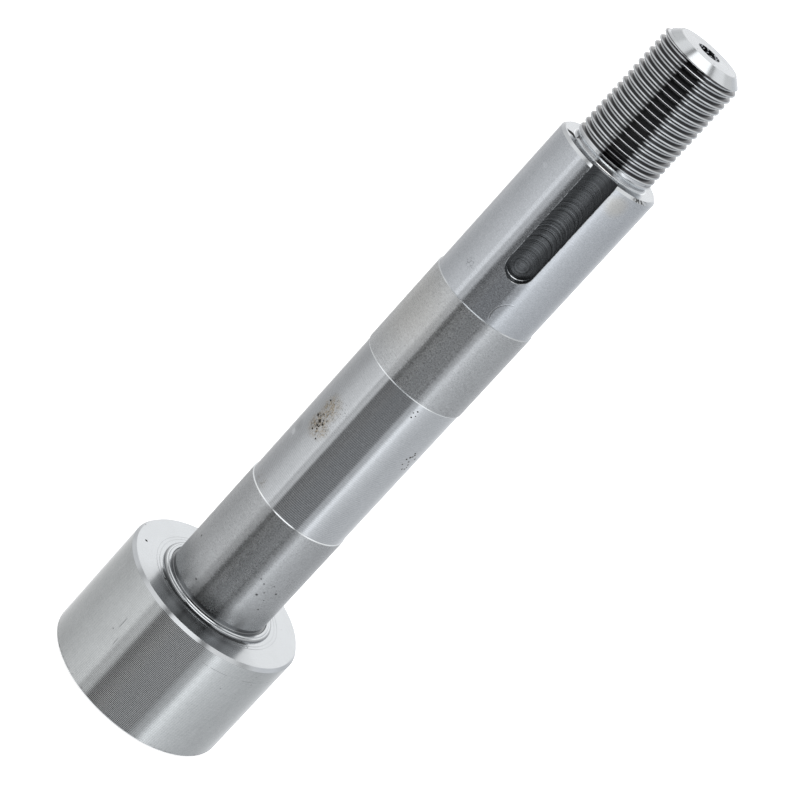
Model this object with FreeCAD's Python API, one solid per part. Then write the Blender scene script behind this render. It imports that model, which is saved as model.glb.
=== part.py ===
import FreeCAD, Part
import math
import os

# Mower deck spindle: one turned steel shaft, standing on its head with the nut thread up.
# Millimetres. +Z runs up along the turning axis and the origin is the centre of the head's bottom face.
# The keyway faces -Y.

# Head, the drum that the blade is clamped against
head_diameter = 44.45
head_height = 28.6
head_chamfer_width = 0.62
head_chamfer_height = 0.8
head_foot_chamfer = 0.3

# Shoulder ring on the head's top face, which the lower bearing's inner ring stands on
shoulder_width = 2.0
shoulder_height = 0.6
shoulder_chamfer = 0.45

# Bearing seats, ground to one size
bearing_bore = 25.0
bearing_seat_clearance = 0.0
lower_seat_length = 29.0
upper_seat_length = 22.8
seat_edge_break = 0.2

# Grinding relief at the foot of the lower seat, where the wheel runs out above the shoulder
relief_depth = 0.2
relief_length = 1.1
relief_ramp = 0.2

# Waist between the bearing seats, left as turned, inside the spacer sleeve
waist_diameter = 24.59
waist_length = 38.9

# Keyed seat for the pulley hub
pulley_seat_diameter = 24.48
pulley_seat_length = 38.6
pulley_seat_chamfer = 0.6

# Keyway, cut by an end mill: round at its closed end and open at the top of the pulley seat
key_width = 6.35
key_side_clearance = 0.0
keyway_length = 28.575
keyway_depth = 2.6

# Neck between the pulley seat and the nut thread
neck_diameter = 18.0
neck_length = 1.05
neck_fillet = 0.35
neck_ramp_length = 0.5

# Nut thread: the solid is the thread's plain blank
thread_diameter = 19.05
thread_end_length = 29.4
thread_start_chamfer = 0.15
tip_diameter = 14.3
tip_chamfer_length = 2.2

# Centre hole in the tip, from turning between centres
centre_mouth_diameter = 5.4
centre_cone_angle = 60.0
centre_pilot_diameter = 2.8
centre_pilot_depth = 3.5
drill_point_angle = 118.0

# Blade bolt hole in the head, drilled for tapping
bolt_hole_diameter = 13.5
bolt_hole_depth = 25.4
bolt_hole_countersink = 1.4

# Cutters run this far past the faces that they start from
cutter_overrun = 1.0

# The turned faces close on a seam this far round from +X, clear of the keyway
seam_angle = 45.0

# Radii
head_radius = head_diameter / 2
seat_radius = (bearing_bore - bearing_seat_clearance) / 2
shoulder_radius = seat_radius + shoulder_width
waist_radius = waist_diameter / 2
pulley_seat_radius = pulley_seat_diameter / 2
neck_radius = neck_diameter / 2
thread_radius = thread_diameter / 2
tip_radius = tip_diameter / 2
centre_mouth_radius = centre_mouth_diameter / 2
centre_pilot_radius = centre_pilot_diameter / 2
bolt_hole_radius = bolt_hole_diameter / 2

# Heights, each stacked on the one below
lower_seat_top = head_height + lower_seat_length
waist_top = lower_seat_top + waist_length
upper_seat_top = waist_top + upper_seat_length
pulley_seat_top = upper_seat_top + pulley_seat_length
neck_top = pulley_seat_top + neck_length
thread_foot = neck_top + neck_ramp_length
tip = pulley_seat_top + thread_end_length


def segment(start, end):
    """A straight stretch of a turned outline, between two (radius, height) points."""
    return Part.LineSegment(at(start), at(end)).toShape()


def hollow_corner(start, end, radius):
    """A quarter of a circle that eases an inside corner, from a flat face down onto an upright wall."""
    lean = radius * math.cos(math.radians(45.0))
    middle = (start[0] - lean, end[1] - lean)
    return Part.Arc(at(start), at(middle), at(end)).toShape()


def at(point):
    return FreeCAD.Vector(point[0], 0, point[1])


def path(points):
    """Straight stretches joined end to end."""
    return [segment(start, end) for start, end in zip(points[:-1], points[1:])]


def turned(edges):
    """The solid swept by a closed outline turned once about the axis."""
    outline = Part.Wire(Part.__sortEdges__(edges))
    return Part.Face(outline).revolve(FreeCAD.Vector(0, 0, 0), FreeCAD.Vector(0, 0, 1), 360)


def blank():
    """The whole shaft as it leaves the lathe, before the holes and the keyway."""
    shoulder_top = head_height + shoulder_height
    relief_radius = seat_radius - relief_depth
    below_neck = [
        (0, 0),
        (head_radius - head_foot_chamfer, 0),
        (head_radius, head_foot_chamfer),
        (head_radius, head_height - head_chamfer_height),
        (head_radius - head_chamfer_width, head_height),
        (shoulder_radius, head_height),
        (shoulder_radius, shoulder_top - shoulder_chamfer),
        (shoulder_radius - shoulder_chamfer, shoulder_top),
        (relief_radius, shoulder_top),
        (relief_radius, shoulder_top + relief_length - relief_ramp),
        (seat_radius, shoulder_top + relief_length),
        (seat_radius, lower_seat_top - seat_edge_break),
        (waist_radius, lower_seat_top),
        (waist_radius, waist_top),
        (seat_radius, waist_top + seat_edge_break),
        (seat_radius, upper_seat_top - seat_edge_break),
        (pulley_seat_radius, upper_seat_top),
        (pulley_seat_radius, pulley_seat_top - pulley_seat_chamfer),
        (pulley_seat_radius - pulley_seat_chamfer, pulley_seat_top),
        (neck_radius + neck_fillet, pulley_seat_top),
    ]
    above_neck = [
        (neck_radius, pulley_seat_top + neck_fillet),
        (neck_radius, neck_top),
        (thread_radius - thread_start_chamfer, thread_foot),
        (thread_radius, thread_foot + thread_start_chamfer),
        (thread_radius, tip - tip_chamfer_length),
        (tip_radius, tip),
        (0, tip),
        (0, 0),
    ]
    corner = hollow_corner(below_neck[-1], above_neck[0], neck_fillet)
    shape = turned(path(below_neck) + [corner] + path(above_neck))
    shape.rotate(FreeCAD.Vector(0, 0, 0), FreeCAD.Vector(0, 0, 1), seam_angle)
    return shape


def drill(radius, depth):
    """A drill standing in a hole from z = 0 up, with its point beyond the full depth."""
    point_length = radius / math.tan(math.radians(drill_point_angle / 2))
    return turned(path([
        (0, -cutter_overrun),
        (radius, -cutter_overrun),
        (radius, depth),
        (0, depth + point_length),
        (0, -cutter_overrun),
    ]))


def countersink(mouth_radius, cone_angle):
    """A cone that opens to the mouth radius at z = 0 and closes to a point above it."""
    slope = math.tan(math.radians(cone_angle / 2))
    return turned(path([
        (0, -cutter_overrun),
        (mouth_radius + cutter_overrun * slope, -cutter_overrun),
        (0, mouth_radius / slope),
        (0, -cutter_overrun),
    ]))


def bolt_hole():
    """The tapping hole in the head's bottom face, with its countersunk mouth."""
    mouth = countersink(bolt_hole_radius + bolt_hole_countersink, 90.0)
    return drill(bolt_hole_radius, bolt_hole_depth).fuse(mouth)


def centre_hole():
    """The centre hole, turned over to point down into the tip."""
    pilot_start = (centre_mouth_radius - centre_pilot_radius) / math.tan(math.radians(centre_cone_angle / 2))
    tool = drill(centre_pilot_radius, pilot_start + centre_pilot_depth)
    tool = tool.fuse(countersink(centre_mouth_radius, centre_cone_angle))
    tool.rotate(FreeCAD.Vector(0, 0, 0), FreeCAD.Vector(1, 0, 0), 180)
    tool.translate(FreeCAD.Vector(0, 0, tip))
    return tool


def keyway():
    """The end mill's sweep: a round closed end, then a straight cut out past the pulley seat."""
    width = key_width + 2 * key_side_clearance
    half_width = width / 2
    floor = pulley_seat_radius - keyway_depth
    reach = keyway_depth + cutter_overrun
    round_end_centre = pulley_seat_top - keyway_length + half_width
    mill = Part.makeCylinder(
        half_width,
        reach,
        FreeCAD.Vector(0, -floor, round_end_centre),
        FreeCAD.Vector(0, -1, 0),
    )
    cut_length = pulley_seat_top + neck_fillet - round_end_centre
    cut = Part.makeBox(width, reach, cut_length)
    cut.translate(FreeCAD.Vector(-half_width, -floor - reach, round_end_centre))
    return mill.fuse(cut)


def spindle_shaft():
    """The finished shaft, one piece of steel."""
    return blank().cut(bolt_hole()).cut(centre_hole()).cut(keyway())


os.makedirs("parts", exist_ok=True)
shaft = spindle_shaft()
shaft.exportStep("parts/spindle_shaft.step")
print("spindle_shaft", len(shaft.Solids), "solid", round(shaft.Volume / 1000, 2), "cm3", shaft.isValid())
print("height", round(shaft.BoundBox.ZMax, 3), "across", round(shaft.BoundBox.XLength, 3))
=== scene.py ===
import math

import bmesh
import bpy
import numpy as np
from mathutils import Matrix


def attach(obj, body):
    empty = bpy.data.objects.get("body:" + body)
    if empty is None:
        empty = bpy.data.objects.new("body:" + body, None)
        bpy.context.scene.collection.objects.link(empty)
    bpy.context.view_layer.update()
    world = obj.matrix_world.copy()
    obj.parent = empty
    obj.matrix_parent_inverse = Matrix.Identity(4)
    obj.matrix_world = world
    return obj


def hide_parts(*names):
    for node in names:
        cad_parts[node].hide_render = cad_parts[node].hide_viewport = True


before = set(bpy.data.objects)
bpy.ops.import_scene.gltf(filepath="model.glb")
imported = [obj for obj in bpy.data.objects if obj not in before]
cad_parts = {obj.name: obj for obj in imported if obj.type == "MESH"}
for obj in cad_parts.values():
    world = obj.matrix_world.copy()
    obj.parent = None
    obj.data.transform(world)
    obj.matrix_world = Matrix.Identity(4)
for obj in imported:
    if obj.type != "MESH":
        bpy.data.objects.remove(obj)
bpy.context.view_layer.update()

# Sizes are in millimetres until a mesh is made. Heights run up the shaft from the head's bottom face,
# and angles round the shaft are counted from the middle of the keyway, which faces -Y.
millimetre = 0.001
print("frame loaded")


# Camera: where it stands, and what it looks at

camera = {
    "fromKeyway": -5.9,     # degrees round the shaft
    "fromAxis": 508.3,
    "height": 281.94,
    "aimHeight": 90.15,
    "aimSide": 1.08,
    "roll": 42.38,          # how far the shaft leans to the right in the picture, degrees
    "lens": 117.15,
    "farthest": 100.0,      # metres
}


def turnTo(degrees):  # unit vector out from the axis
    angle = math.radians(degrees - 90.0)
    return np.array([math.cos(angle), math.sin(angle), 0.0])


def makeCamera(c):
    upwards = np.array([0.0, 0.0, 1.0])
    outwards = turnTo(c["fromKeyway"])
    place = outwards * c["fromAxis"] + upwards * c["height"]
    aim = np.cross(upwards, outwards) * c["aimSide"] + upwards * c["aimHeight"]
    forward = (aim - place) / np.linalg.norm(aim - place)
    level = np.cross(forward, upwards)
    level /= np.linalg.norm(level)
    roll = math.radians(c["roll"])
    top = np.cross(level, forward) * math.cos(roll) - level * math.sin(roll)
    matrix = np.eye(4)
    matrix[:3, 0] = np.cross(forward, top)
    matrix[:3, 1] = top
    matrix[:3, 2] = -forward
    matrix[:3, 3] = place * millimetre
    data = bpy.data.cameras.new("camera")
    data.lens = c["lens"]
    data.clip_end = c["farthest"]
    eye = bpy.data.objects.new("camera", data)
    bpy.context.scene.collection.objects.link(eye)
    eye.matrix_world = Matrix(matrix.tolist())
    bpy.context.scene.camera = eye


makeCamera(camera)
print("camera placed")


# Shader nodes as expressions

class Wire:  # the output of a node, which takes part in sums
    def __init__(self, web, socket):
        self.web = web
        self.socket = socket

    def maths(self, operation, *values):
        return self.web.node("ShaderNodeMath", {"operation": operation}, dict(enumerate(values)))

    def __add__(self, other):
        return self.maths("ADD", self, other)

    def __sub__(self, other):
        return self.maths("SUBTRACT", self, other)

    def __rsub__(self, other):
        return self.maths("SUBTRACT", other, self)

    def __mul__(self, other):
        return self.maths("MULTIPLY", self, other)

    def __truediv__(self, other):
        return self.maths("DIVIDE", self, other)

    def __rtruediv__(self, other):
        return self.maths("DIVIDE", other, self)

    def __pow__(self, other):
        return self.maths("POWER", self, other)

    def __abs__(self):
        return self.maths("ABSOLUTE", self)

    __radd__ = __add__
    __rmul__ = __mul__

    def least(self, other):
        return self.maths("MINIMUM", self, other)

    def most(self, other):
        return self.maths("MAXIMUM", self, other)

    def rise(self, low, high):  # 0 below low, 1 above high, and smooth between; low may be the higher one
        ramp = {"interpolation_type": "SMOOTHSTEP"}
        if low < high:
            return self.web.node("ShaderNodeMapRange", ramp, {0: self, 1: low, 2: high})
        return 1.0 - self.web.node("ShaderNodeMapRange", ramp, {0: self, 1: high, 2: low})

    def hump(self, low, high, soft):  # 1 between low and high
        return self.rise(low - soft, low + soft) * self.rise(high + soft, high - soft)

    def lighter(self, *changes):  # each change is where it lies, from 0 to 1, and how much it adds there
        tone = self
        for where, amount in changes:
            tone = tone * (1.0 + where * amount)
        return tone

    def darker(self, *changes):
        tone = self
        for where, amount in changes:
            tone = tone * (1.0 - where * amount)
        return tone


class Web:  # the node tree of a material or of the world
    def __init__(self, owner):
        owner.use_nodes = True
        self.tree = owner.node_tree
        self.tree.nodes.clear()

    def node(self, kind, settings=None, inputs=None, output=0):
        made = self.tree.nodes.new(kind)
        for name, value in (settings or {}).items():
            if name == "stops":
                self.setStops(made.color_ramp, value)
            else:
                setattr(made, name, value)
        for name, value in (inputs or {}).items():
            if isinstance(value, Wire):
                self.tree.links.new(value.socket, made.inputs[name])
            elif value is not None:
                made.inputs[name].default_value = value
        return Wire(self, made.outputs[output]) if made.outputs else made

    def vector(self, operation, inputs, output=0):  # output 1 is the number that some operations give
        return self.node("ShaderNodeVectorMath", {"operation": operation}, inputs, output)

    def setStops(self, ramp, stops):
        while len(ramp.elements) < len(stops):
            ramp.elements.new(0.5)
        for element, (place, shade) in zip(ramp.elements, stops):
            element.position = place
            element.color = (*shade, 1.0) if isinstance(shade, tuple) else (shade, shade, shade, 1.0)

    def mix(self, share, first, second):  # of two colours, the node's inputs 6 and 7 and its output 2
        return self.node("ShaderNodeMix", {"data_type": "RGBA"}, {0: share, 6: first, 7: second}, 2)

    def tint(self, colour, amount):  # a colour made lighter or darker by a number
        colour = colour if isinstance(colour, Wire) else colour[:3]
        return self.vector("SCALE", {0: colour, "Scale": amount})


# The turned shaft

shaft = {
    "headRadius": 22.225, "headTop": 28.6, "headChamferWidth": 0.62, "headChamferHeight": 0.8,
    "footChamfer": 0.3,
    "shoulderRadius": 14.5, "shoulderTop": 29.36, "shoulderRound": 0.45, "shoulderRows": 5,
    "shoulderStep": 0.16,   # from the rounded rim up to the ridge
    "ridgeFoot": 13.8, "ridgeEdge": 13.56, "ridgeEnd": 13.05, "channelDepth": 0.2, "channelRound": 0.12,
    "reliefRadius": 12.3, "reliefTop": 30.3, "reliefRamp": 0.2,
    "seatRadius": 12.5, "lowerSeatTop": 57.6, "lowerSeatBreak": 0.2,
    "waistRadius": 12.295, "waistTop": 96.5, "waistRamp": 0.32,
    "upperSeatTop": 119.3, "upperSeatBreak": 0.16,
    "pulleySeatRadius": 12.24, "pulleySeatTop": 157.9, "pulleySeatChamfer": 0.6,
    "neckFillet": 0.5, "neckRows": 7, "neckRadius": 9.0, "neckTop": 158.78, "threadFoot": 159.45,
    "threadRadius": 9.47, "tipChamferFoot": 185.15, "tipRadius": 7.15, "tip": 187.3,
    "chamferOver": 0.05,    # the tip chamfer's cone passes this far outside the thread's crests at its foot
    "fineFrom": -0.25, "fineTo": 1.05, "fineRows": 25,  # heights with close rows, from the chamfer's foot
    "chamferZone": 0.3,     # above the chamfer's foot, where its finish begins
    "centreMouth": 2.7, "centreHalfAngle": 30.0,
    "centrePilot": 1.4, "centrePilotDepth": 3.5, "centrePoint": 0.8,
    "boltHole": 6.75, "boltHoleDepth": 25.4, "boltHoleMouth": 8.15, "drillSlope": 31.0,
    "columns": 174,         # round the shaft, outside the keyway's own
    "joinWithin": 0.001,
    "sharpFrom": 32.0,      # degrees between two faces
}
keyway = {
    "halfWidth": 3.175, "edge": 0.1, "floor": 9.64, "endCentre": 132.5,
    "margin": 1.2,          # of seat round the slot that bends to its outline
    "across": 12, "beside": 3, "along": 9,
    "corner": 0.11,         # left by the cutter at the foot of the closed end's wall
}
nutThread = {"pitch": 1.5875, "depth": 0.92, "crest": 0.06, "root": 0.12, "edge": 0.085,
             "crestHeight": 163.28, "starts": 159.45, "fade": 0.9}
boltThread = {"pitch": 2.309, "depth": 1.15, "crest": 0.25, "root": 0.20, "edge": 0.05,
              "crestHeight": 2.2, "starts": 1.5, "ends": 20.5, "fade": 1.6, "mouthFade": 0.3}
helixRows = {"onCrest": 0.35, "inRoot": 0.5,  # shares of the crest's and the root's half width
             "snap": 0.04}                    # rows closer to an end than this lie on it
zones = ["head", "headFace", "seat", "waist", "pulleySeat", "edges", "thread",
         "tipFace", "keyway", "foot", "boltHole"]


# Column angles: finer across the keyway, where they stand at even distances from its middle
def seatAngles(s, k):
    slot = k["halfWidth"] + k["edge"]
    outer = slot + k["margin"]
    across = np.concatenate([np.linspace(-outer, -slot, k["beside"] + 1)[:-1],
                             np.linspace(-slot, slot, k["across"] + 1)[:-1],
                             np.linspace(slot, outer, k["beside"] + 1)])
    inner = np.arcsin(across / s["pulleySeatRadius"])
    rest = np.linspace(inner[-1], 2 * math.pi + inner[0], s["columns"] + 1)
    return np.concatenate([inner, rest[1:]])


def roundTheAxis(radius, height, angle):  # points at these radii, heights and angles from the keyway
    radius, height, angle = np.broadcast_arrays(radius, height, angle)
    return np.stack([radius * np.sin(angle), -radius * np.cos(angle), height], axis=-1)


def besideTheAxis(across, out, height):  # points at these distances across and out from the keyway's middle
    across, out, height = np.broadcast_arrays(across, out, height)
    return np.stack([across, -out, height], axis=-1)


class Skin:  # grids of points that join into one closed mesh
    def __init__(self):
        self.points, self.faces, self.slots = [], [], []
        self.count = 0

    def grid(self, points, zone, flip=False):  # the zone is one name, or one for each row of faces
        rows, columns = points.shape[:2]
        index = np.arange(rows * columns).reshape(rows, columns) + self.count
        corners = [index[:-1, :-1], index[:-1, 1:], index[1:, 1:], index[1:, :-1]]
        if flip:
            corners.reverse()
        faces = np.stack(corners, axis=-1).reshape(-1, 4)
        slots = [zones.index(name) for name in ([zone] if isinstance(zone, str) else zone)]
        slots = np.broadcast_to(np.array(slots)[:, None], (rows - 1, columns - 1)).reshape(-1)
        self.points.append(points.reshape(-1, 3))
        self.faces.append(faces)
        self.slots.append(slots)
        self.count += rows * columns

    def mesh(self, name, near):
        made = bpy.data.meshes.new(name)
        made.from_pydata(np.concatenate(self.points) * millimetre, [], np.concatenate(self.faces).tolist())
        made.polygons.foreach_set("material_index", np.concatenate(self.slots).astype(np.int32))
        bm = bmesh.new()
        bm.from_mesh(made)
        bmesh.ops.remove_doubles(bm, verts=bm.verts, dist=near * millimetre)
        bmesh.ops.dissolve_degenerate(bm, edges=bm.edges, dist=near * millimetre)
        bm.to_mesh(made)
        bm.free()
        return made


# The radius lost at a distance from the nearest crest is nothing on the flat crest, grows one for one over
# the broken edge, then grows evenly down the flank to the full depth, and stays there over the root.
def threadForm(away, t, share):
    past = np.abs(away) - t["crest"]
    run = t["pitch"] / 2 - t["root"] - t["crest"] - t["edge"]
    flank = np.clip((past - t["edge"]) / run, 0.0, 1.0) * (t["depth"] - t["edge"])
    return (np.clip(past, 0.0, t["edge"]) + flank) * share


def helixTurns(angle):  # whole turns round the shaft, counted from the side that the camera sees
    return (angle - math.radians(camera["fromKeyway"])) / (2 * math.pi)


def crestDistance(height, angle, t):  # along the axis to the nearest crest of a right-handed helix
    turns = (height - t["crestHeight"]) / t["pitch"] - helixTurns(angle)
    return (turns - np.round(turns)) * t["pitch"]


def threadRadius(height, angle, t, radius):
    share = np.clip((height - t["starts"]) / t["fade"], 0.0, 1.0)
    share = share * share * (3 - 2 * share)
    return radius - threadForm(crestDistance(height, angle, t), t, share)


def threadRows(low, high, angle, t, r):  # heights that follow the helix, ten to a turn, level at both ends
    rootEdge = t["pitch"] / 2 - t["root"]
    half = np.array([t["crest"] * r["onCrest"], t["crest"], t["crest"] + t["edge"],
                     rootEdge, rootEdge + t["root"] * r["inRoot"]])
    steps = np.concatenate([-half[::-1], half])
    first = math.floor((low - t["crestHeight"]) / t["pitch"]) - 2
    last = math.ceil((high - t["crestHeight"]) / t["pitch"]) + 1
    crests = t["crestHeight"] + np.arange(first, last + 1) * t["pitch"]
    level = (crests[:, None] + steps).reshape(-1, 1)
    height = level + helixTurns(angle) * t["pitch"]
    return np.where(height < low + r["snap"], low, np.where(height > high - r["snap"], high, height))


# Rows of radius, height and the zone up to the next row, from the bolt hole's mouth to the pulley seat's foot
def lowerProfile(s):
    face = s["headRadius"] - s["headChamferWidth"]
    low = s["shoulderTop"] - s["shoulderStep"]
    channel = s["shoulderTop"] - s["channelDepth"]
    rounded = [(s["shoulderRadius"] - s["shoulderRound"] * (1 - math.cos(turn)),
                low - s["shoulderRound"] * (1 - math.sin(turn)), "edges")
               for turn in np.linspace(0.0, math.pi / 2, s["shoulderRows"])]
    return [
        (s["boltHoleMouth"], 0.0, "foot"),
        (s["headRadius"] - s["footChamfer"], 0.0, "edges"),
        (s["headRadius"], s["footChamfer"], "head"),
        (s["headRadius"], s["headTop"] - s["headChamferHeight"], "edges"),
        (face, s["headTop"], "headFace"),
        (s["shoulderRadius"], s["headTop"], "edges"),
        *rounded,
        (s["ridgeFoot"], low, "edges"),
        (s["ridgeEdge"], s["shoulderTop"], "headFace"),
        (s["ridgeEnd"], s["shoulderTop"], "edges"),
        (s["ridgeEnd"] - s["channelDepth"], channel, "edges"),
        (s["reliefRadius"] + s["channelRound"], channel, "edges"),
        (s["reliefRadius"], channel + s["channelRound"], "edges"),
        (s["reliefRadius"], s["reliefTop"] - s["reliefRamp"], "edges"),
        (s["seatRadius"], s["reliefTop"], "seat"),
        (s["seatRadius"], s["lowerSeatTop"] - s["lowerSeatBreak"], "edges"),
        (s["waistRadius"], s["lowerSeatTop"], "waist"),
        (s["waistRadius"], s["waistTop"], "edges"),
        (s["seatRadius"], s["waistTop"] + s["waistRamp"], "seat"),
        (s["seatRadius"], s["upperSeatTop"] - s["upperSeatBreak"], "edges"),
        (s["pulleySeatRadius"], s["upperSeatTop"], "pulleySeat"),
    ]


def buildShaft(s, k, nut, bolt):
    skin = Skin()
    angle = seatAngles(s, k)
    slot = k["halfWidth"] + k["edge"]
    seat = s["pulleySeatRadius"]
    beside, across = k["beside"], k["across"]

    def rows(profile):  # radius and height rows swept round the axis
        radius, height = np.array([(r, z) for r, z, zone in profile]).T
        zone = [zone for r, z, zone in profile[:-1]]
        skin.grid(roundTheAxis(radius[:, None], height[:, None], angle), zone)

    # bolt hole from its drill point down to the mouth, with the tapped length cut outwards
    hole, depth = s["boltHole"], s["boltHoleDepth"]
    drillPoint = hole * math.tan(math.radians(s["drillSlope"]))
    threadedTop, threadedFoot = bolt["ends"], bolt["starts"]
    rows([(0.0, depth + drillPoint, "boltHole"), (hole, depth, "boltHole"), (hole, threadedTop, "boltHole")])
    height = threadRows(threadedFoot, threadedTop, angle, bolt, helixRows)[::-1]
    fromEnds = np.minimum((threadedTop - height) / bolt["fade"], (height - threadedFoot) / bolt["mouthFade"])
    groove = threadForm(crestDistance(height, angle, bolt), bolt, 1.0)
    skin.grid(roundTheAxis(hole + groove * np.clip(fromEnds, 0.0, 1.0), height, angle), "boltHole")
    rows([(hole, threadedFoot, "boltHole"), (s["boltHoleMouth"], 0.0, "boltHole")])

    # outside of the head, the seats and the waist, up to just under the keyway
    bend = k["endCentre"] - slot - k["margin"]
    rows(lowerProfile(s) + [(seat, bend, "pulleySeat")])

    # beside the keyway's round end: the rest of the seat, and rings that turn from a rectangle into the
    # slot's outline, each point going evenly from its place on the rectangle to its place on the half circle
    level = np.linspace(bend, k["endCentre"], k["along"] + 1)
    outside = angle[2 * beside + across:]
    skin.grid(roundTheAxis(seat, level[:, None], outside), "pulleySeat")
    inner = seat * np.sin(angle[:2 * beside + across + 1])
    frameAcross = np.concatenate([np.full(k["along"], inner[0]), inner, np.full(k["along"], inner[-1])])
    frameLevel = np.concatenate([level[:0:-1], np.full(len(inner), bend), level[1:]])
    sweep = np.linspace(math.pi, 2 * math.pi, len(frameAcross))
    outline = np.stack([slot * np.cos(sweep), k["endCentre"] + slot * np.sin(sweep)])
    share = np.linspace(0.0, 1.0, beside + 1)[:, None]
    ringAcross = frameAcross * (1 - share) + outline[0] * share
    ringLevel = frameLevel * (1 - share) + outline[1] * share
    ringOut = np.sqrt(seat ** 2 - ringAcross ** 2)
    skin.grid(besideTheAxis(ringAcross, ringOut, ringLevel), "pulleySeat")

    # the seat's open stretch beside the keyway, its chamfer, and the end face down to the neck's fillet
    around = np.concatenate([angle[beside + across:], angle[1:beside + 1] + 2 * math.pi])
    endRadius = seat - s["pulleySeatChamfer"]
    top = s["pulleySeatTop"]
    faceFloor = k["floor"] - k["edge"]
    corner = math.hypot(slot, faceFloor)
    filletTop = s["neckRadius"] + s["neckFillet"]
    radii = np.array([seat, seat, endRadius + k["edge"], endRadius, corner])[:, None]
    gap = np.arcsin(slot / radii)
    bent = gap + (around - around[0]) * (math.pi - gap) / (math.pi - around[0])
    heights = np.array([k["endCentre"], top - s["pulleySeatChamfer"], top - k["edge"], top, top])[:, None]
    swept = roundTheAxis(radii, heights, bent)
    skin.grid(swept, ["pulleySeat", "edges", "edges", "tipFace"])
    skin.grid(np.stack([swept[-1], roundTheAxis(filletTop, top, around)]), "tipFace")
    under = angle[beside:beside + across + 1]
    floorEdge = besideTheAxis(np.linspace(-slot, slot, across + 1), faceFloor, top)
    skin.grid(np.stack([floorEdge, roundTheAxis(filletTop, top, under)]), "tipFace")

    # the keyway's edge break and wall, carried from the end face round the closed end and back
    half, e = k["halfWidth"], k["edge"]
    straight = np.array([top, top - e, top - s["pulleySeatChamfer"], k["endCentre"]])
    turn = sweep[::-1][1:-1]
    beforeTurn = np.zeros(len(straight))
    pathAcross = np.concatenate([beforeTurn + 1.0, np.cos(turn), beforeTurn - 1.0])
    swing = np.concatenate([beforeTurn, np.sin(turn), beforeTurn])
    pathLevel = np.concatenate([straight, np.full(len(turn), k["endCentre"]), straight[::-1]])
    outerLevel, innerLevel = pathLevel + swing * slot, pathLevel + swing * half
    outerAcross, innerAcross = pathAcross * slot, pathAcross * half
    innerAcross[[0, -1]] = outerAcross[[0, -1]]
    surface = np.minimum(seat, endRadius + top - pathLevel)
    edgeOut = np.sqrt(surface ** 2 - outerAcross ** 2)
    lipOut = np.sqrt(surface ** 2 - innerAcross ** 2) - e
    lipOut[[0, -1]] = edgeOut[[0, -1]]
    floorOut = np.full(len(pathLevel), k["floor"])
    floorOut[[0, -1]] = faceFloor
    corner = k["corner"] * np.abs(swing)
    wallFoot = besideTheAxis(innerAcross - pathAcross * corner, floorOut, innerLevel - swing * corner)
    wall = np.stack([besideTheAxis(outerAcross, edgeOut, outerLevel),
                     besideTheAxis(innerAcross, lipOut, innerLevel),
                     besideTheAxis(innerAcross, floorOut + corner, innerLevel),
                     wallFoot])
    skin.grid(wall, ["edges", "keyway", "edges"], flip=True)
    middle = len(pathLevel) // 2
    right, left = wallFoot[:middle + 1], wallFoot[::-1][:middle + 1]
    share = np.linspace(0.0, 1.0, across + 1)[None, :, None]
    skin.grid(left[:, None] * (1 - share) + right[:, None] * share, "keyway", flip=True)

    # neck, and the nut thread up to just under the tip's chamfer
    fillet, tipFoot = s["neckFillet"], s["tipChamferFoot"]
    neck = [(filletTop - fillet * math.sin(bow), top + fillet * (1 - math.cos(bow)), "edges")
            for bow in np.linspace(0.0, math.pi / 2, s["neckRows"])]
    rows(neck + [(s["neckRadius"], s["neckTop"], "edges"), (s["threadRadius"], s["threadFoot"], "thread")])
    cut = tipFoot + s["fineFrom"]
    height = threadRows(s["threadFoot"], cut, angle, nut, helixRows)
    radius = threadRadius(height, angle, nut, s["threadRadius"])
    skin.grid(roundTheAxis(radius, height, angle), "thread")

    # tip: the radius is the lesser of the thread's and the chamfer's, which narrows evenly up to the end face
    height = np.linspace(cut, tipFoot + s["fineTo"], s["fineRows"])[:, None]
    mouth = s["threadRadius"] + s["chamferOver"]
    cone = mouth - (height - tipFoot) * (mouth - s["tipRadius"]) / (s["tip"] - tipFoot)
    radius = np.minimum(threadRadius(height, angle, nut, s["threadRadius"]), cone)
    chamferFrom = tipFoot + s["chamferZone"]
    zone = ["edges" if z > chamferFrom else "thread" for z in height[:-1, 0]]
    skin.grid(roundTheAxis(radius, height, angle), zone)
    pilot = s["centrePilot"]
    pilotTop = s["tip"] - (s["centreMouth"] - pilot) / math.tan(math.radians(s["centreHalfAngle"]))
    pilotFoot = pilotTop - s["centrePilotDepth"]
    rows([(radius[-1, 0], height[-1, 0], "edges"), (s["tipRadius"], s["tip"], "tipFace"),
          (s["centreMouth"], s["tip"], "boltHole"), (pilot, pilotTop, "boltHole"),
          (pilot, pilotFoot, "boltHole"), (0.0, pilotFoot - s["centrePoint"], "boltHole")])
    return skin.mesh("spindleShaft", s["joinWithin"])


shaftMesh = buildShaft(shaft, keyway, nutThread, boltThread)
shaftMesh.shade_smooth()
shaftMesh.set_sharp_from_angle(angle=math.radians(shaft["sharpFrom"]))
spindle = bpy.data.objects.new("spindleShaft", shaftMesh)
bpy.context.scene.collection.objects.link(spindle)
print("shaft turned:", len(shaftMesh.vertices), "points,", len(shaftMesh.polygons), "faces")


# Finish of the steel. Sockets that are the same all over carry plain numbers.

steel = (0.592, 0.612, 0.629)
# flankShade is painted shade, the dark between the thread's turns; the others are the steel's own colours
shades = {
    "warm": (0.61, 0.60, 0.565, 1.0), "rustFilm": (0.47, 0.455, 0.42, 1.0), "rust": (0.36, 0.29, 0.19, 1.0),
    "pit": (0.03, 0.026, 0.022, 1.0), "flankShade": (0.2, 0.202, 0.205, 1.0),
}
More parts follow.
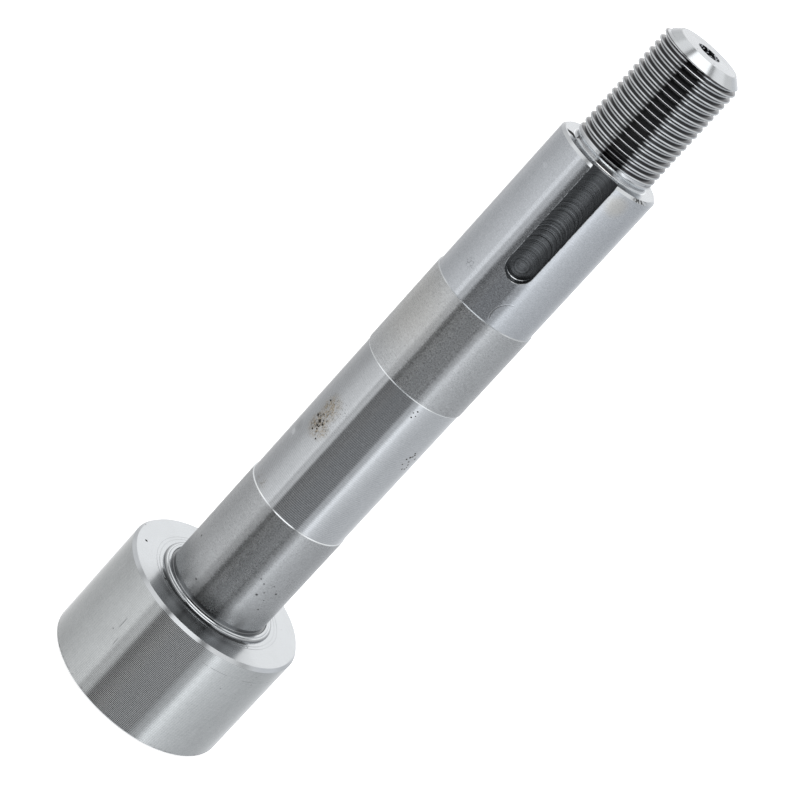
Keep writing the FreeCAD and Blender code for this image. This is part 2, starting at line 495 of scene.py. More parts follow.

# tint: times the steel's colour; rough: roughness; drawn: how much a glint stretches along the tool marks;
# pitch, lines, depth: of the tool marks, in millimetres, in tone and in millimetres; grain, relief: of the
# fine grain, in tone and in millimetres; grainShading: how much stronger the grain is painted towards the
# camera, as painted shading
finishes = {
    "head": {"tint": (1.01, 1.01, 0.985), "rough": 0.17, "drawn": 0.5, "pitch": 0.352, "lines": 0.06,
             "depth": 0.0, "grain": 0.11, "relief": 0.0008, "grainShading": -0.7},
    "headFace": {"tint": (0.955, 0.955, 0.957), "rough": 0.2, "drawn": 0.4, "pitch": 0.32, "lines": 0.03,
                 "depth": 0.0004, "grain": 0.03, "relief": 0.0004},
    "seat": {"tint": (0.975, 0.97, 0.96), "rough": 0.28, "drawn": 0.9, "pitch": 0.18, "lines": 0.04,
             "depth": 0.001, "grain": 0.35, "relief": 0.005, "grainShading": 1.1},
    "waist": {"tint": (1.0, 1.0, 1.0), "rough": 0.18, "drawn": 0.75, "pitch": 0.455, "lines": 0.03,
              "depth": 0.0, "grain": 0.15, "relief": 0.0006, "grainShading": 1.0},
    "pulleySeat": {"tint": (0.99, 1.0, 1.02), "rough": 0.22, "drawn": 0.97, "pitch": 0.2, "lines": 0.03,
                   "depth": 0.001, "grain": 0.21, "relief": 0.003, "grainShading": 2.0},
    "edges": {"tint": (1.12, 1.12, 1.12), "rough": 0.17, "drawn": 0.5, "pitch": 0.12, "lines": 0.02,
              "depth": 0.0, "grain": 0.04, "relief": 0.0},
    "thread": {"tint": (1.1, 1.1, 1.1), "rough": 0.1, "drawn": 0.1, "pitch": 0.1, "lines": 0.0,
               "depth": 0.0, "grain": 0.03, "relief": 0.0},
    "tipFace": {"tint": (0.84, 0.845, 0.855), "rough": 0.22, "drawn": 0.5, "pitch": 0.25, "lines": 0.04,
                "depth": 0.0005, "grain": 0.05, "relief": 0.0004},
    "keyway": {"tint": (0.66, 0.67, 0.68), "rough": 0.28, "drawn": 0.3, "pitch": 0.5, "lines": 0.1,
               "depth": 0.003, "grain": 0.12, "relief": 0.003},
    "foot": {"tint": (0.98, 0.98, 1.0), "rough": 0.30, "drawn": 0.75, "pitch": 0.45, "lines": 0.08,
             "depth": 0.004, "grain": 0.06, "relief": 0.004},
    "boltHole": {"tint": (0.62, 0.62, 0.64), "rough": 0.3, "drawn": 0.5, "pitch": 0.3, "lines": 0.08,
                 "depth": 0.002, "grain": 0.08, "relief": 0.002},
}
roundSeats = ("seat", "waist", "pulleySeat")
flatFaces = ("headFace", "tipFace", "foot")
# outlineShade: painted shade near the left outline of the round seats; the other numbers are the steel's own
# mottling
mottling = {"grain": 2.2, "drawn": 1.4, "cloud": 0.16, "outlineShade": 0.22, "cloudRough": 0.08, "grainRough": 0.06}

# Noises from 0 to 1: how fine across, back and up, how detailed, how rough, and a shift of their own
noises = {
    "grain": ((3.2, 3.2, 3.2), 2.0, 0.6, 0.0), "cloud": ((0.11, 0.11, 0.09), 3.0, 0.55, 3.0),
    "drawnRound": ((0.7, 0.7, 9.0), 2.0, 0.6, 7.0), "drawnFlat": ((1.5, 1.5, 1.5), 2.0, 0.6, 7.0),
    "headMottle": ((0.9, 0.9, 0.7), 3.0, 0.6, 17.0), "keywayPatches": ((0.35, 0.35, 0.5), 2.0, 0.5, 91.0),
}

# Patches are noises cut to 0 and 1: the two last numbers are the levels where a patch begins and is full
patches = {
    "scribe": ((0.5, 0.5, 0.5), 2.0, 0.5, 0.0, 0.42, 0.55),
    "headDirt": ((0.16, 0.16, 0.16), 2.0, 0.5, 11.0, 0.6, 0.68),
    "headFoot": ((1.4, 1.4, 3.0), 2.0, 0.5, 0.0, 0.54, 0.66),
    "faceSpecks": ((0.25, 0.25, 0.25), 2.0, 0.5, 5.0, 0.55, 0.62),
    "burr": ((1.1, 1.1, 1.1), 2.0, 0.5, 13.0, 0.34, 0.38),
    "pulleySpecks": ((3.0, 3.0, 3.0), 2.0, 0.5, 53.0, 0.54, 0.62),
    "rusty": ((0.8, 0.8, 0.8), 3.0, 0.6, 23.0, 0.4, 0.55),
    "tan": ((2.6, 2.6, 2.6), 3.0, 0.65, 31.0, 0.42, 0.52),
    "black": ((1.9, 1.9, 1.9), 3.0, 0.65, 44.0, 0.52, 0.58),
    "stain": ((0.9, 0.9, 0.9), 3.0, 0.6, 67.0, 0.42, 0.62),
    "stainSpecks": ((3.0, 3.0, 3.0), 2.0, 0.5, 0.0, 0.52, 0.6),
    "dust": ((3.4, 3.4, 3.4), 2.0, 0.5, 57.0, 0.6, 0.66),
    "slotEdge": ((0.8, 0.8, 1.4), 2.0, 0.5, 71.0, 0.45, 0.6),
    "chamferDirt": ((1.3, 1.3, 1.6), 3.0, 0.6, 61.0, 0.44, 0.5),
    "centreGlint": ((1.5, 1.5, 1.5), 2.0, 0.6, 83.0, 0.52, 0.58),
}

# Spots: radius, degrees from the keyway, height, size across, back and up, and how soft
spots = {
    "longScratch": (shaft["headRadius"], -34.0, 18.3, (0.14, 0.14, 2.0), 0.5),
    "shortScratch": (shaft["headRadius"], -30.0, 14.2, (0.12, 0.12, 1.5), 0.5),
    "ringSpeck": (15.56, -47.0, shaft["headTop"], (0.5, 0.35, 0.5), 0.35),
    "faceSpeck": (19.4, -82.6, shaft["headTop"], (0.4, 0.4, 0.5), 0.35),
    "wideBurr": (10.3, -73.0, shaft["pulleySeatTop"], (1.1, 1.1, 0.5), 0.3),
    "innerBurr": (9.5, -67.0, shaft["pulleySeatTop"], (0.9, 0.5, 0.6), 0.3),
    "burrTip": (10.9, -76.0, shaft["pulleySeatTop"], (0.55, 0.35, 0.4), 0.35),
    "burrFoot": (9.9, -66.0, shaft["pulleySeatTop"], (0.3, 0.5, 0.4), 0.35),
    "neckBurr": (9.1, -67.0, 158.35, (0.7, 0.5, 0.5), 0.4),
    "seatWarmth": (shaft["seatRadius"], -60.0, 110.0, (12.0, 12.0, 14.0), 0.8),
    "pulleyWarmth": (shaft["pulleySeatRadius"], 28.0, 154.5, (3.6, 3.6, 3.4), 0.7),
    "pulleyNick": (shaft["pulleySeatRadius"], -53.0, 150.6, (1.3, 1.3, 0.7), 0.6),
    "pulleySpecks": (shaft["pulleySeatRadius"], -41.2, 125.8, (1.7, 1.7, 1.7), 0.6),
    "lowerRust": (shaft["waistRadius"], -46.0, 77.4, (4.2, 4.2, 3.6), 0.7),
    "upperRust": (shaft["waistRadius"], -49.0, 81.8, (3.8, 3.8, 4.4), 0.8),
    "rustHeart": (shaft["waistRadius"], -47.0, 78.2, (2.6, 2.6, 2.8), 0.8),
    "dust": (shaft["waistRadius"], -40.0, 82.0, (5.5, 5.5, 6.0), 0.6),
    "stain": (shaft["waistRadius"], -54.0, 59.2, (3.4, 3.4, 1.9), 0.8),
    "waistNick": (shaft["waistRadius"], -69.6, 71.0, (1.0, 1.4, 0.8), 0.5),
    "nickShadow": (shaft["waistRadius"], -71.0, 73.0, (2.0, 2.4, 1.8), 0.7),
    "chamferDirt": (11.95, 49.0, 157.6, (3.2, 3.2, 0.55), 0.6),
}

# Round pits: degrees from the keyway, height and size
seatPits = [
    (25.0, 39.8, 0.4), (43.0, 41.7, 0.38), (23.0, 42.9, 0.26), (39.0, 36.5, 0.3), (17.0, 43.6, 0.24),
    (30.0, 41.0, 0.22), (34.0, 43.4, 0.22), (36.0, 39.2, 0.22), (-65.0, 39.3, 0.36), (-31.0, 33.2, 0.3)]
waistPits = [
    (56.4, 85.8, 0.36), (58.6, 85.3, 0.38), (57.4, 84.8, 0.36), (54.7, 84.55, 0.46), (51.6, 83.9, 0.36),
    (65.6, 84.1, 0.38), (58.2, 83.3, 0.36), (52.2, 82.4, 0.3), (62.0, 82.4, 0.36), (63.0, 81.1, 0.36),
    (58.1, 81.1, 0.32), (64.1, 81.6, 0.3),
    (18.8, 93.2, 0.25), (20.0, 95.0, 0.26), (17.4, 94.3, 0.2), (21.5, 93.9, 0.18)]
rustPits = [
    (-56.0, 78.5, 0.5), (-48.3, 78.2, 0.6), (-49.0, 75.8, 0.36), (-37.7, 75.2, 0.3), (-44.4, 76.7, 0.32),
    (-42.7, 78.3, 0.42), (-56.4, 82.7, 0.36), (-47.0, 77.2, 0.4)]


class Steel(Web):  # a steel material, with where a point lies on the shaft
    def __init__(self, name):
        self.material = bpy.data.materials.new(name)
        super().__init__(self.material)
        self.look = finishes[name]
        place = self.node("ShaderNodeTexCoord", output=3)  # the Object coordinates, in metres
        self.point = self.vector("SCALE", {0: place, "Scale": 1.0 / millimetre})
        split = self.node("ShaderNodeSeparateXYZ", {}, {0: self.point}).socket.node
        self.across, back, self.height = (Wire(self, socket) for socket in split.outputs)
        self.out = back * -1.0
        self.radius = (self.across * self.across + self.out * self.out) ** 0.5
        self.angle = self.across.maths("ARCTAN2", self.across, self.out)

    def noise(self, name):
        return self.makeNoise(*noises[name])

    def patch(self, name):  # 1 inside scattered patches, 0 between them
        *form, begins, full = patches[name]
        return self.makeNoise(*form).rise(begins, full)

    def makeNoise(self, scale, detail, sharp, shift):
        place = self.vector("MULTIPLY_ADD", {0: self.point, 1: scale, 2: (shift, shift, shift)})
        return self.node("ShaderNodeTexNoise", {"noise_dimensions": "3D"},
                         {"Vector": place, "Scale": 1.0, "Detail": detail, "Roughness": sharp})

    def rings(self, along, pitch, shift=0.0):  # uneven tool marks at this spacing, 0 to 1
        return self.node("ShaderNodeTexNoise", {"noise_dimensions": "1D"},
                         {"W": along / pitch + shift, "Scale": 1.0, "Detail": 1.0})

    # every tone scaled by this band is painted light and shade, placed where the studio's reflections change
    # the steel's look
    def facing(self, half=0.28, soft=0.03):  # 1 in the band towards the camera, where tool marks show most
        middle = math.radians(camera["fromKeyway"])
        return self.angle.hump(middle - half, middle + half, soft)

    def wave(self, along):  # -1 to 1, once round for each whole number
        return along.maths("SINE", along * (2 * math.pi))

    def dots(self, spacing, size, soft=0.45):  # 1 inside scattered dots, with the sizes in millimetres
        cell = self.node("ShaderNodeTexVoronoi", {"voronoi_dimensions": "3D"},
                         {"Vector": self.point, "Scale": 1.0 / spacing})
        return cell.rise(size / spacing, size / spacing * soft)

    def near(self, radius, degrees, height, size, soft):  # 1 near a place on the shaft, 0 beyond size
        angle = math.radians(degrees)
        place = (radius * math.sin(angle), -radius * math.cos(angle), height)
        away = self.vector("SUBTRACT", {0: self.point, 1: place})
        away = self.vector("MULTIPLY", {0: away, 1: tuple(1.0 / n for n in size)})
        return self.vector("LENGTH", {0: away}, 1).rise(1.0, 1.0 - soft)

    def spot(self, name):
        return self.near(*spots[name])

    def pits(self, radius, places, flat=0.8, soft=0.5):  # 1 inside round pits, which are a little flat
        pitted = 0.0
        for degrees, height, size in places:
            pitted = self.near(radius, degrees, height, (size, size, size * flat), soft).most(pitted)
        return pitted

    def close(self, colour, rough, height, metal=1.0):  # height in millimetres
        bump = self.node("ShaderNodeBump", {}, {"Strength": 1.0, "Distance": millimetre, "Height": height})
        body = self.node("ShaderNodeBsdfPrincipled", {}, {
            "Base Color": colour, "Metallic": metal, "Roughness": rough, "Anisotropic": self.look["drawn"],
            "Anisotropic Rotation": 0.25, "Normal": bump})
        self.node("ShaderNodeOutputMaterial", {}, {"Surface": body})
        return self.material


def basics(name, along):  # the tone and the relief that every surface starts from
    web, m = Steel(name), mottling
    look = web.look
    marks = web.rings(along(web), look["pitch"])
    grain = web.noise("grain")
    drawn = web.noise("drawnFlat" if name in flatFaces else "drawnRound")
    cloud = web.noise("cloud")
    strength = m["grain"] * look["grain"]
    # painted shading: the grain's contrast is painted stronger or weaker in the band towards the camera
    if "grainShading" in look:
        strength = (1.0 + web.facing() * look["grainShading"]) * strength
    tone = (1.0 + (marks - 0.5) * look["lines"] + (grain - 0.5) * strength
            + (drawn - 0.5) * look["grain"] * m["drawn"] + (cloud - 0.5) * m["cloud"])
    if name in roundSeats:
        # painted shade on the round seats near their left outline
        leftOutlineShade = web.angle.rise(-1.3, -1.46)
        tone = tone.darker((leftOutlineShade, m["outlineShade"]))
    relief = marks * look["depth"] + grain * look["relief"]
    rough = look["rough"] + (cloud - 0.5) * m["cloudRough"] + (grain - 0.5) * m["grainRough"]
    colour = tuple(a * b for a, b in zip(steel, look["tint"])) + (1.0,)
    return web, colour, tone, relief, rough


def headSide():
    web, colour, tone, relief, rough = basics("head", lambda w: w.height)
    feed = web.wave(web.height / web.look["pitch"])
    # painted shading: the feed lines are painted far stronger, and the mottle weaker, in the band towards the
    # camera, where the dark reflection falls
    tone = tone + feed * (0.09 + 0.76 * web.facing())
    tone = tone + (web.noise("headMottle") - 0.5) * (0.16 - 0.1 * web.facing())
    scratch = web.spot("longScratch").most(web.spot("shortScratch"))
    scribe = web.height.hump(24.45, 24.6, 0.05) * web.angle.hump(0.25, 1.3, 0.2) * web.patch("scribe")
    dirt = web.dots(1.9, 0.26) * web.patch("headDirt")
    dirt = dirt.most(web.height.rise(1.1, 0.2) * web.patch("headFoot"))
    tone = tone.darker((scribe, 0.28), (dirt, 0.55), (scratch, 0.45))
    relief = relief + feed * 0.0025 - scribe * 0.01
    return web.close(web.tint(colour, tone), rough + dirt * 0.15, relief)


def ringedFace(name, finish=None):  # a flat face with turned rings, and what its own finish adds
    web, colour, tone, relief, rough = basics(name, lambda w: w.radius)
    specks = web.dots(1.9, 0.24) * web.patch("faceSpecks")
    groove = web.radius.hump(15.45, 15.58, 0.05)
    if finish:
        tone, specks, groove = finish(web, tone, specks, groove)
    tone = tone.darker((specks, 0.96))
    return web.close(web.tint(colour, tone), rough + specks * 0.7, relief - groove * 0.03, 1.0 - specks)


def headFace(web, tone, specks, groove):
    specks = specks.most(web.spot("ringSpeck")).most(web.spot("faceSpeck"))
    groove = groove.most(web.radius.hump(16.24, 16.34, 0.05))
    # painted shade: the face is painted darkest in front of the shoulder ring, and the ring's ridge dark only
    # where it faces the camera; a painted glint lies just outside the ring, in front
    outside = web.radius.rise(14.0, 14.2)
    inner = outside * web.radius.rise(15.5, 15.1) * web.facing(0.92, 0.08)
    ridge = (1.0 - outside) * web.facing(0.34, 0.1)
    before = outside * web.facing(0.72, 0.3) * (0.27 + 0.31 * web.radius.rise(19.0, 16.6))
    glint = web.radius.hump(15.3, 15.62, 0.06) * web.facing(0.2, 0.16)
    tone = tone * (1.0 - (inner * 0.72).most(ridge * 0.78)) * (1.0 - before)
    return tone.lighter((glint, 1.5)), specks, groove


def seatEndAndTip(web, tone, specks, groove):
    burr = web.spot("wideBurr").most(web.spot("innerBurr"))
    specks = specks.most(burr * web.patch("burr"))
    specks = specks.most(web.spot("burrTip")).most(web.spot("burrFoot"))
    rim, ring = web.radius.rise(6.8, 6.95), web.radius.hump(4.9, 5.1, 0.1)
    tone = tone * (1.0 - web.height.rise(180.0, 181.0) * (rim * 0.2 + ring * 0.08))
    # painted shade on the pulley seat's end face: darker across the front, and darker still in the band
    # towards the camera
    seatEnd = web.height.rise(160.0, 159.0)
    front = seatEnd * web.angle.hump(-0.98, 0.72, 0.1)
    middle = seatEnd * web.facing(0.3, 0.1) * web.radius.rise(10.9, 10.4) * web.radius.rise(9.6, 9.9)
    return tone.darker((front, 0.45), (middle, 0.5)), specks, groove


def bearingSeat():
    web, colour, tone, relief, rough = basics("seat", lambda w: w.height)
    lower = web.height.rise(62.0, 56.0)
    # painted light and shade: the band towards the camera and its middle painted lighter, and bands beside it
    # painted darker, as the studio's reflections fall; the lower seat is also a little darker all round
    rightShading = (1.0 - lower) * web.angle.rise(0.16, 0.24)
    leftBandShading, rightBandShade = web.angle.hump(-0.345, -0.265, 0.02), web.angle.hump(0.125, 0.19, 0.02)
    middle = web.angle.hump(-0.03, 0.1, 0.04) * lower
    tone = tone.lighter((web.facing(), 0.29 - 0.04 * lower))
    tone = tone.darker((lower, 0.13), (rightShading, 0.09), (leftBandShading, 0.17), (rightBandShade, 0.24 - 0.1 * lower))
    tone = tone.lighter((middle, 0.13))
    # painted shade darkens the lower seat towards its foot, where it mirrors the head, and a painted
    # reflection lightens it where it mirrors the shoulder ring
    foot = web.height.rise(40.0, 33.0)
    shine = abs(web.angle + 0.09).hump(0.44, 0.6, 0.05) * web.height.rise(33.5, 30.6)
    tone = tone.darker((foot, 0.12 + 0.12 * web.angle.rise(-0.8, -1.0))).lighter((shine, 0.5))
    shade = web.mix(web.spot("seatWarmth") * 0.5, colour, shades["warm"])
    pitted = web.pits(shaft["seatRadius"], seatPits)
    tone = tone.darker((pitted, 0.75))
    return web.close(web.tint(shade, tone), rough + pitted * 0.2, relief - pitted * 0.02)


def keyedSeat():
    web, colour, tone, relief, rough = basics("pulleySeat", lambda w: w.height)
    # painted light and shade: a painted highlight on the left, bands painted darker beside it and under the
    # slot, and the band towards the camera painted lighter
    paintedLeftShine, leftBandShading = web.angle.hump(-0.575, -0.49, 0.02), web.angle.hump(-0.4, -0.335, 0.02)
    shadeUnderSlot = web.angle.hump(0.18, 0.36, 0.04) * web.height.rise(132.0, 129.0)
    tone = tone.lighter((web.facing(), 0.16), (paintedLeftShine, 0.15)).darker((leftBandShading, 0.2), (shadeUnderSlot, 0.11))
    nick = web.spot("pulleyNick")
    tone = tone.lighter((nick, 0.12))
    # a curved scratch: a stretch of a circle, light on its outer side and dark on its inner side
    around = web.angle * shaft["pulleySeatRadius"]
    away = ((around - 5.2) ** 2.0 + (web.height - 122.0) ** 2.0) ** 0.5
    stretch = web.angle.rise(0.38, 0.3) * web.height.rise(119.9, 120.6)
    tone = tone.lighter((away.hump(3.72, 3.82, 0.05) * stretch, 0.55))
    tone = tone.darker((away.hump(3.52, 3.64, 0.05) * stretch, 0.55))
    tone = tone.darker((web.spot("pulleySpecks") * web.patch("pulleySpecks"), 0.35))
    shade = web.mix(web.spot("pulleyWarmth") * 0.7, colour, shades["warm"])
    return web.close(web.tint(shade, tone), rough, relief - nick * 0.03)


def turnedWaist():
    web, colour, tone, relief, rough = basics("waist", lambda w: w.height)
    feed = web.wave(web.height / web.look["pitch"] - web.angle / (2 * math.pi))
    feed = feed * (1.0 - 0.6 * web.height.rise(78.0, 96.0))
    # painted light and shade: the feed lines painted stronger towards the camera, the right side and a band
    # on the left painted lighter, and the left side and the band towards the camera painted darker
    rightShading, leftShade = web.angle.rise(0.6, 0.9), web.angle.rise(-0.75, -0.98)
    leftBandShading = web.angle.hump(-0.345, -0.265, 0.02)
    tone = tone + feed * (0.045 + 0.17 * web.facing())
    tone = tone.lighter((rightShading, 0.13)).darker((leftShade, 0.12), (web.facing(), 0.12))
    tone = tone.lighter((leftBandShading, 0.16))
    rusty = (web.spot("lowerRust") + web.spot("upperRust")).least(1.0) * (0.35 + 0.65 * web.patch("rusty"))
    tan = rusty * web.patch("tan")
    black = (rusty * 0.6 + web.spot("rustHeart") * 0.4) * web.patch("black")
    black = black.most(web.pits(shaft["waistRadius"], rustPits))
    stain = web.spot("stain") * web.patch("stain")
    tone = tone * (1.0 + (web.spot("waistNick") * 0.3 - web.spot("nickShadow") * 0.14))
    tone = tone.darker((stain * web.patch("stainSpecks"), 0.35), (web.spot("dust") * web.patch("dust"), 0.4))
    pitted = web.pits(shaft["waistRadius"], waistPits)
    shade = web.mix((rusty * 0.4).most(stain * 0.5), colour, shades["rustFilm"])
    shade = web.mix(tan * 0.75, shade, shades["rust"])
    shade = web.mix(black.most(pitted), shade, shades["pit"])
    rough = rough + tan * 0.25 + black * 0.3 + pitted * 0.4
    relief = relief + feed * 0.0024 - pitted * 0.02
    return web.close(web.tint(shade, tone), rough, relief, 1.0 - tan * 0.4 - black * 0.4 - pitted * 0.8)


def cutThread():
    web, colour, tone, relief, rough = basics("thread", lambda w: w.height)
    # painted shade: the flanks carry a dark colour for the light lost between the turns, the roots keep it
    # where they face the camera, and the first turns are painted darker there
    crest = web.radius.rise(9.2, 9.38)
    root = web.radius.rise(8.62, 8.57) * (0.8 - 0.72 * web.facing())
    shadeOnFirstTurns = web.height.rise(162.4, 162.2) * web.facing()
    shade = web.mix(crest.most(root), shades["flankShade"], colour)
    return web.close(web.tint(shade, tone.darker((shadeOnFirstTurns, 0.55))), rough, relief)


def milledKeyway():
    web, colour, tone, relief, rough = basics("keyway", lambda w: w.height)
    # the end mill's arcs: all along one, the height less the square root of the half width squared less the
    # distance across squared stays the same, and round the closed end the marks swirl about its centre
    inside, pitch = keyway["halfWidth"], web.look["pitch"]
    side = (inside * inside * 1.02 - web.across * web.across).most(0.0) ** 0.5
    sweep, fine = web.rings(web.height - side, pitch, 3.0), web.rings(web.height - side, 0.2, 9.0)
    fromEnd = web.height - keyway["endCentre"]
    swirl = web.rings((web.across * web.across + fromEnd * fromEnd) ** 0.5, 0.3)
    atEnd = web.height.rise(keyway["endCentre"] + 2.4, keyway["endCentre"]) * 0.7
    marks = (sweep * 0.42 + fine * 0.58) * (1.0 - atEnd) + swirl * atEnd
    floor = web.out.rise(keyway["floor"] + 0.12, keyway["floor"] + 0.02)
    # painted shade: the keyway is painted darker away from the middle of its floor, towards and up its walls
    corner = abs(web.across).rise(0.3, 1.9)
    patchy = 0.55 + 0.9 * web.noise("keywayPatches")
    tone = tone * (1.0 + (marks - 0.5) * 3.1 * floor * patchy) * (1.08 - 0.58 * corner)
    return web.close(web.tint(colour, tone), rough, relief + marks * floor * 0.035)


def brokenEdges():  # bevels, ramps, the shoulder ring, and the neck and grinding relief, where dirt stays, with painted shade and painted highlights besides
    web, colour, tone, relief, rough = basics("edges", lambda w: w.height)
    fromCamera = abs(web.angle + 0.1)
    far = fromCamera.rise(0.65, 0.85)
    middle = web.facing(0.3, 0.1)
    # painted shade on the neck away from the camera, and a painted highlight on the ramp above it
    neck = web.height.hump(158.3, shaft["neckTop"], 0.05) * web.radius.rise(9.3, 9.1)
    ramp = web.height.hump(158.8, shaft["threadFoot"], 0.03)
    relieved = web.height.hump(29.0, shaft["reliefTop"], 0.08) * web.radius.rise(13.0, 12.9)
    # the relief's darkening is partly dirt and partly painted shade, stronger on the far sides and towards
    # the camera
    dirtAndShade = relieved * (0.3 + 0.3 * far + 0.28 * web.facing())
    tone = tone.darker((neck, 0.25 - 0.25 * middle)) * (1.0 - dirtAndShade)
    # painted highlights on the seat breaks, away from the camera
    breakHighlight = web.height.hump(57.3, 57.65, 0.03).most(web.height.hump(96.4, 96.9, 0.03))
    tone = tone.lighter((ramp, 0.4), (breakHighlight * fromCamera.rise(0.3, 0.6), 0.45))
    # painted shade on the shoulder ring, at its foot off to the sides and on its top away from the camera,
    # and a painted highlight on the neck's fillet towards the camera
    outer = web.radius.rise(13.9, 14.0) * web.height.rise(28.7, 28.8)
    wallFoot = outer * web.height.rise(29.1, 28.92) * fromCamera.hump(0.4, 1.3, 0.08)
    shadeOnFarWall = outer * web.height.rise(29.5, 29.4) * far
    bend = web.height.hump(157.9, 158.3, 0.03) * web.radius.rise(9.6, 9.5) * middle
    tone = tone.darker((wallFoot, 0.55), (shadeOnFarWall, 0.36)).lighter((bend, 0.5))
    slotEdge = abs(web.across).rise(3.4, 3.35) * web.height.hump(128.0, 157.2, 0.3)
    slotEdge = slotEdge * web.out.rise(11.0, 11.2)
    tone = tone.darker((slotEdge, 0.35 + 0.5 * web.patch("slotEdge")),
                       (web.spot("chamferDirt") * web.patch("chamferDirt"), 0.85),
                       (web.spot("neckBurr"), 0.8))
    return web.close(web.tint(colour, tone), rough + relieved * 0.2, relief)


def drilledHole():  # dark inside; the centre hole is darkened to near black in patches, with painted glints
    web, colour, tone, relief, rough = basics("boltHole", lambda w: w.height)
    # painted glints on a centre hole darkened to near black
    tone = web.height.rise(180.0, 181.0) * (web.patch("centreGlint") * 1.5 - 0.97) + tone
    return web.close(web.tint(colour, tone), rough, relief)


made = {
    "head": headSide(), "headFace": ringedFace("headFace", headFace), "seat": bearingSeat(),
    "waist": turnedWaist(), "pulleySeat": keyedSeat(), "edges": brokenEdges(), "thread": cutThread(),
    "tipFace": ringedFace("tipFace", seatEndAndTip), "keyway": milledKeyway(), "foot": ringedFace("foot"),
    "boltHole": drilledHole(),
}
for name in zones:
    shaftMesh.materials.append(made[name])

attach(spindle, "root")
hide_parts("spindle_shaft")
print("finish put on")


# Studio: a pale floor, and soft light whose brightness depends only on the direction it comes from

studio = {
    "floorSize": 9000.0, "floorShade": 0.86, "floorGlow": 0.62, "floorRough": 0.9,
    # light near the level of the part, in degrees round from the camera and brightness, left and then right
    "left": [(180, 0.95), (150, 0.70), (130, 0.60), (108, 0.58), (88, 0.67), (70, 0.78), (58, 0.86),
             (47.2, 1.03), (45.2, 0.64), (43, 0.58), (40, 0.74), (36, 0.76), (33.2, 0.69), (31, 0.20),
             (26, 0.20), (19, 0.26), (12, 0.30), (0, 0.30)],
    "right": [(0, 0.30), (20, 0.315), (31, 0.30), (34.5, 0.60), (42.5, 0.64), (46, 1.08), (50, 1.30),
              (53, 1.24), (58, 0.96), (70, 0.77), (88, 0.66), (108, 0.59), (130, 0.60), (150, 0.70),
              (180, 0.95)],
    "leftHue": (1.0, 1.0, 1.01), "rightHue": (0.985, 1.0, 1.03),
    # in front, brightness also changes with height, from straight down at 0 to straight up at 1
    "frontByHeight": [(0.0, 1.6), (0.27, 1.55), (0.285, 1.22), (0.304, 0.58), (0.32, 0.62), (0.335, 1.26),
                      (0.352, 1.38), (0.37, 1.28), (0.3785, 1.28), (0.3825, 0.04), (0.45, 0.04),
                      (0.55, 0.25), (1.0, 0.25)],
    "frontEdge": (31.5, 29.5),      # degrees where the front begins and is full
    "narrower": 0.14,               # of the dark front as seen near the level of the eye
    "below": 1.15, "lowFront": 0.1, "lowFrontShade": 0.03, "dusk": 0.22, "backGlow": 1.25, "sideLift": 1.28,
    "aboveBack": 1.25, "aboveSides": 0.74, "aboveFront": 0.09, "aboveAside": 0.92,
    "strip": 1.55, "stripHalf": 0.27, "stripSoft": 0.03, "overhead": 0.98, "gap": 0.34,
}


def grey(value):
    return (value, value, value, 1.0)


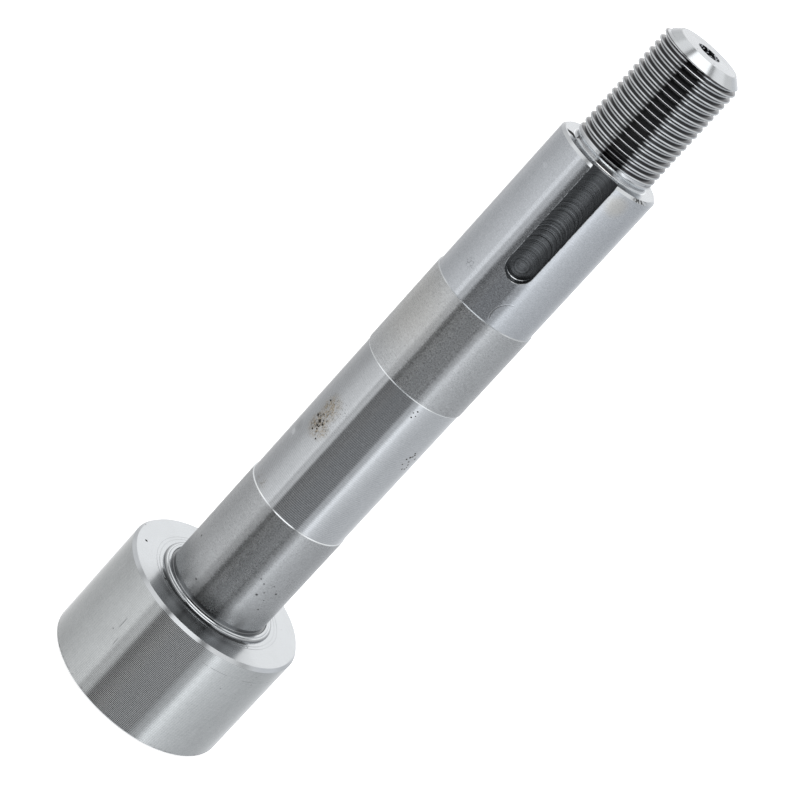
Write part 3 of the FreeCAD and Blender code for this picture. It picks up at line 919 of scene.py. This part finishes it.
def makeSky(c):
    web = Web(bpy.context.scene.world)
    towards = turnTo(camera["fromKeyway"])
    sideways = np.cross([0.0, 0.0, 1.0], towards)
    direction = web.node("ShaderNodeTexCoord", output=0)  # Generated, which says where the light comes from

    def along(vector):  # how far the light's direction points along a vector
        return web.vector("DOT_PRODUCT", {0: direction, 1: tuple(vector)}, 1)

    def hued(value, hue):
        return tuple(value * part for part in hue)

    front, side, height = along(towards), along(sideways), along((0.0, 0.0, 1.0))
    aside = abs(side)

    # the ring of light near the level of the part, and how the front of it changes with height
    eyeLevel = height.rise(-0.27, -0.2) * height.rise(0.1, 0.0) * front.rise(0.3, 0.6)
    bearing = side.maths("ARCTAN2", side, front) * (1.0 + eyeLevel * c["narrower"]) / (2 * math.pi) + 0.5
    stops = [(0.5 - degrees / 360, hued(value, c["leftHue"])) for degrees, value in c["left"][:-1]]
    stops += [(0.5 + degrees / 360, hued(value, c["rightHue"])) for degrees, value in c["right"]]
    level = web.node("ShaderNodeValToRGB", {"stops": stops}, {0: bearing})
    inFront = abs(bearing - 0.5).rise(*(degrees / 360 for degrees in c["frontEdge"]))
    lift = web.node("ShaderNodeValToRGB", {"stops": c["frontByHeight"]}, {0: height * 0.5 + 0.5})
    level = web.node("ShaderNodeMix", {"data_type": "RGBA", "blend_type": "MULTIPLY"},
                     {0: inFront, 6: level, 7: lift}, 2)

    # under it: dark low in front, bright straight below
    lowFront = height.rise(-0.52, -0.60) * front.rise(0.2, 0.6) * (1.0 - c["lowFront"])
    level = web.mix(lowFront, level, grey(c["lowFrontShade"]))
    level = web.mix(height.rise(-0.78, -0.92), level, grey(c["below"]))

    # over it: dusk in front, brighter sides, and a glow at the back
    duskBand = height.hump(0.2, 0.42, 0.05) * front.rise(-0.1, 0.15)
    level = web.tint(level, 1.0 - duskBand * (1.0 - c["dusk"]))
    sides = height.rise(-0.05, 0.2) * aside.rise(0.6, 0.8)
    level = web.tint(level, 1.0 + sides * (c["sideLift"] - 1.0))
    back = height.rise(0.08, 0.25) * front.rise(-0.7, -0.88) * aside.rise(0.36, 0.22)
    level = web.mix(back, level, grey(c["backGlow"]))

    # above: dark in front, brighter behind, with a strip overhead between two gaps
    behind = web.mix(aside.rise(0.22, 0.38), grey(c["aboveBack"]), grey(c["aboveSides"]))
    frontSides = aside.rise(0.4, 0.5) * height.rise(0.5, 0.57)
    ahead = web.mix(frontSides, grey(c["aboveFront"]), grey(c["aboveAside"]))
    above = web.mix(front.rise(0.25, -0.15), ahead, behind)
    over = web.mix(aside.hump(0.29, 0.4, 0.03), grey(c["overhead"]), grey(c["gap"]))
    stripEdge = aside.rise(c["stripHalf"] + c["stripSoft"], c["stripHalf"] - c["stripSoft"])
    over = web.mix(stripEdge, over, grey(c["strip"]))
    above = web.mix(height.rise(0.66, 0.76), above, over)
    sky = web.mix(height.rise(0.38, 0.48), level, above)

    # the camera itself sees plain white
    seen = web.node("ShaderNodeLightPath", output=0)
    light = web.node("ShaderNodeBackground", {}, {"Color": sky, "Strength": 1.0})
    white = web.node("ShaderNodeBackground", {}, {"Color": grey(1.0), "Strength": 1.0})
    both = web.node("ShaderNodeMixShader", {}, {0: seen, 1: light, 2: white})
    web.node("ShaderNodeOutputWorld", {}, {"Surface": both})


def makeFloor(c):
    half = c["floorSize"] / 2 * millimetre
    corners = [(-half, -half, 0.0), (half, -half, 0.0), (half, half, 0.0), (-half, half, 0.0)]
    data = bpy.data.meshes.new("floor")
    data.from_pydata(corners, [], [(0, 1, 2, 3)])
    floor = bpy.data.objects.new("floor", data)
    bpy.context.scene.collection.objects.link(floor)
    paper = bpy.data.materials.new("paleFloor")
    web = Web(paper)
    body = web.node("ShaderNodeBsdfPrincipled", {}, {
        "Base Color": grey(c["floorShade"]), "Roughness": c["floorRough"],
        "Emission Color": grey(1.0), "Emission Strength": c["floorGlow"]})
    web.node("ShaderNodeOutputMaterial", {}, {"Surface": body})
    data.materials.append(paper)
    floor.visible_glossy = False


if bpy.context.scene.world is None:
    bpy.context.scene.world = bpy.data.worlds.new("studio")
makeSky(studio)
makeFloor(studio)
bpy.context.scene.view_settings.view_transform = "Standard"
print("studio lit")
